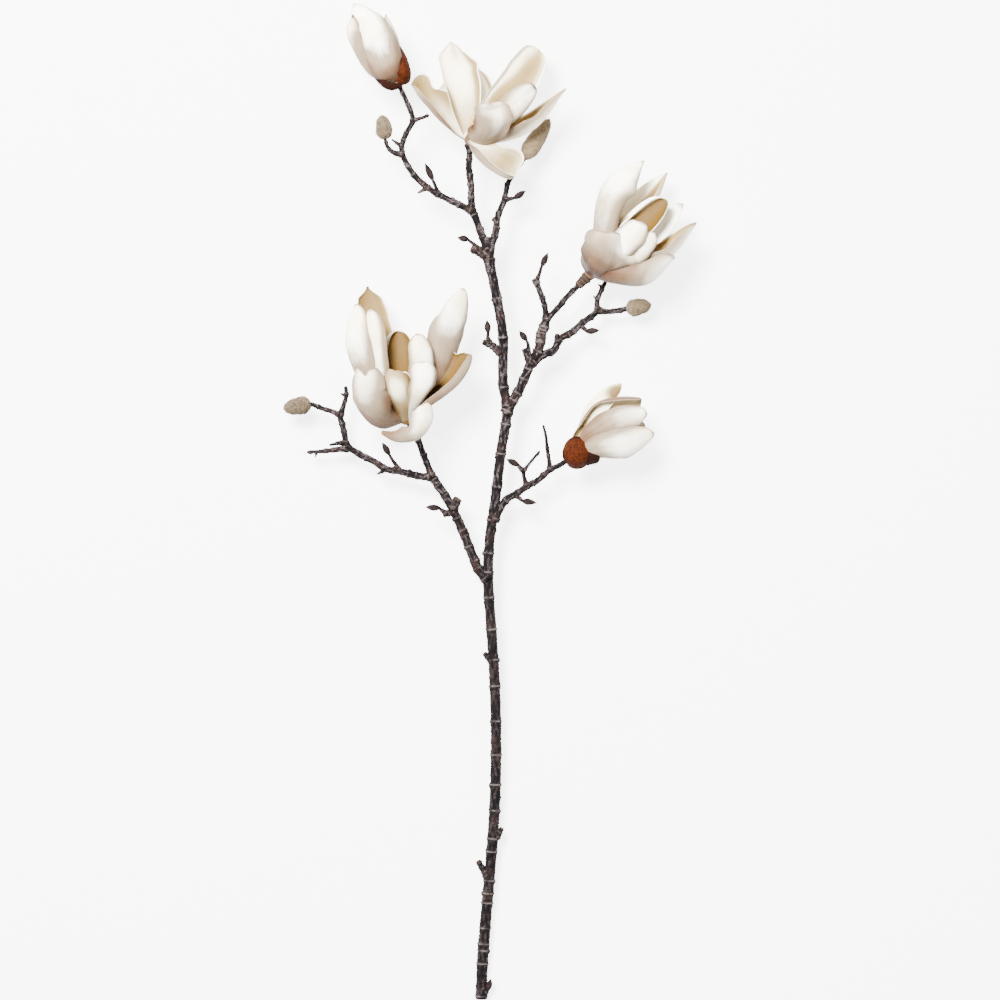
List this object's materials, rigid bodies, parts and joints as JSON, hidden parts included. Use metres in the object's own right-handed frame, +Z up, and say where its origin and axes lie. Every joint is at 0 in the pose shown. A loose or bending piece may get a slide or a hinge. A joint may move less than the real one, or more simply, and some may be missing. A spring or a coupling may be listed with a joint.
{
  "type": "magnolia branch",
  "caption": "Cut branch of white magnolia lying down: a ringed dark woody stem with open cup-shaped blooms, half-open buds in brown scales, downy winter buds and small leaf buds.",
  "frame": {"origin": "on the table, under the middle of the branch's outline as it lies", "axes": "+Z up from the table, +Y along the branch from the cut end of the stem to the top bloom, +X to the right seen from above with the top bloom away from the viewer"},
  "size_m": [0.4133, 0.9937, 0.1037],
  "materials": {
    "bark": "matte",
    "tepal": "satin",
    "stamen": "matte",
    "bud_scale": "matte",
    "down": "matte"
  },
  "bodies": {
    "root": {"branch_wood": "bark", "top_bloom_tepals": "tepal", "top_bloom_stamens": "stamen", "left_bloom_tepals": "tepal", "left_bloom_stamens": "stamen", "right_bloom_tepals": "tepal", "right_bloom_stamens": "stamen", "top_bud_tepals": "tepal", "top_bud_scale_1": "bud_scale", "top_bud_scale_2": "bud_scale", "lower_bud_tepals": "tepal", "lower_bud_scale_1": "bud_scale", "lower_bud_scale_2": "bud_scale", "top_left_downy_bud": "down", "top_right_downy_bud": "down", "right_downy_bud": "down", "left_downy_bud": "down"}
  },
  "joints": []
}
